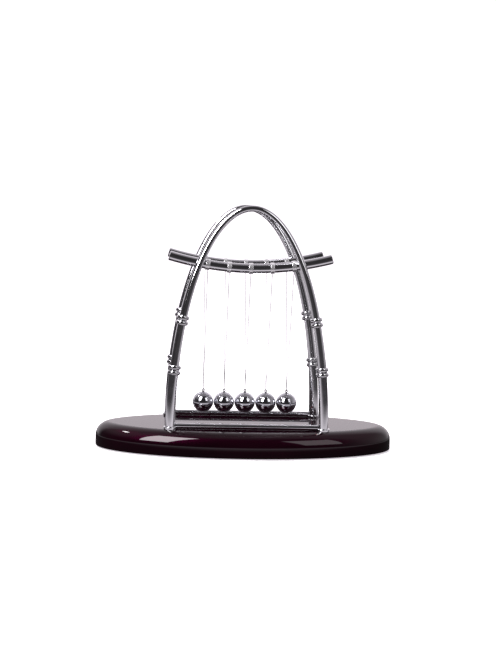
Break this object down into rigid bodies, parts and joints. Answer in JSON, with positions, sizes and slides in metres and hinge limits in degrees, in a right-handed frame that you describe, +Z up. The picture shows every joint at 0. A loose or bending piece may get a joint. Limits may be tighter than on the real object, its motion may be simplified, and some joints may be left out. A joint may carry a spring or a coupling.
{
  "type": "newtons cradle",
  "caption": "Desk Newton's cradle: a row of steel balls hangs on nylon strings between sagging rails carried by chrome arches on a glossy oval base.",
  "frame": {"origin": "middle of the base's footprint on the surface that the cradle stands on, under the rubber pads", "axes": "+X along the base and along the row of balls, +Y from the front arch to the rear arch, +Z up"},
  "size_m": [0.23, 0.104, 0.1883],
  "materials": {
    "lacquer": "dark cherry high-gloss lacquer",
    "frame_chrome": "bright chrome plate",
    "band_silver": "bright silver foil band",
    "ball_chrome": "polished chrome",
    "eye_steel": "dark polished steel",
    "nylon": "clear nylon",
    "pad_rubber": "matt black",
    "zinc_steel": "zinc plated"
  },
  "bodies": {
    "stand": {"base": "lacquer", "front_arch": "frame_chrome", "front_band_1": "band_silver", "front_band_2": "band_silver", "front_band_3": "band_silver", "front_band_4": "band_silver", "front_band_5": "band_silver", "front_left_foot_ring": "frame_chrome", "front_left_lower_collar": "frame_chrome", "front_left_pad": "pad_rubber", "front_left_upper_collar": "frame_chrome", "front_lower_bar": "frame_chrome", "front_rail": "frame_chrome", "front_right_foot_ring": "frame_chrome", "front_right_lower_collar": "frame_chrome", "front_right_pad": "pad_rubber", "front_right_upper_collar": "frame_chrome", "leg_screws": "zinc_steel", "leg_washers": "zinc_steel", "rail_pins": "zinc_steel", "rear_arch": "frame_chrome", "rear_band_1": "band_silver", "rear_band_2": "band_silver", "rear_band_3": "band_silver", "rear_band_4": "band_silver", "rear_band_5": "band_silver", "rear_left_foot_ring": "frame_chrome", "rear_left_lower_collar": "frame_chrome", "rear_left_pad": "pad_rubber", "rear_left_upper_collar": "frame_chrome", "rear_lower_bar": "frame_chrome", "rear_rail": "frame_chrome", "rear_right_foot_ring": "frame_chrome", "rear_right_lower_collar": "frame_chrome", "rear_right_pad": "pad_rubber", "rear_right_upper_collar": "frame_chrome"},
    "pendulum_1": {"ball_1": "ball_chrome", "ball_1_eye": "eye_steel", "string_1": "nylon"},
    "pendulum_2": {"ball_2": "ball_chrome", "ball_2_eye": "eye_steel", "string_2": "nylon"},
    "pendulum_3": {"ball_3": "ball_chrome", "ball_3_eye": "eye_steel", "string_3": "nylon"},
    "pendulum_4": {"ball_4": "ball_chrome", "ball_4_eye": "eye_steel", "string_4": "nylon"},
    "pendulum_5": {"ball_5": "ball_chrome", "ball_5_eye": "eye_steel", "string_5": "nylon"}
  },
  "joints": [
    {"name": "ball_1_swing", "type": "hinge", "parent": "stand", "child": "pendulum_1", "pos_m": [-0.0324, 0, 0.13899], "axis": [0, 1, 0], "range_deg": [0, 60]},
    {"name": "ball_2_swing", "type": "hinge", "parent": "stand", "child": "pendulum_2", "pos_m": [-0.0162, 0, 0.13727], "axis": [0, 1, 0], "range_deg": [-0.08, 0.08]},
    {"name": "ball_3_swing", "type": "hinge", "parent": "stand", "child": "pendulum_3", "pos_m": [0, 0, 0.13671], "axis": [0, 1, 0], "range_deg": [-0.08, 0.08]},
    {"name": "ball_4_swing", "type": "hinge", "parent": "stand", "child": "pendulum_4", "pos_m": [0.0162, 0, 0.13727], "axis": [0, 1, 0], "range_deg": [-0.08, 0.08]},
    {"name": "ball_5_swing", "type": "hinge", "parent": "stand", "child": "pendulum_5", "pos_m": [0.0324, 0, 0.13899], "axis": [0, -1, 0], "range_deg": [0, 60]}
  ]
}
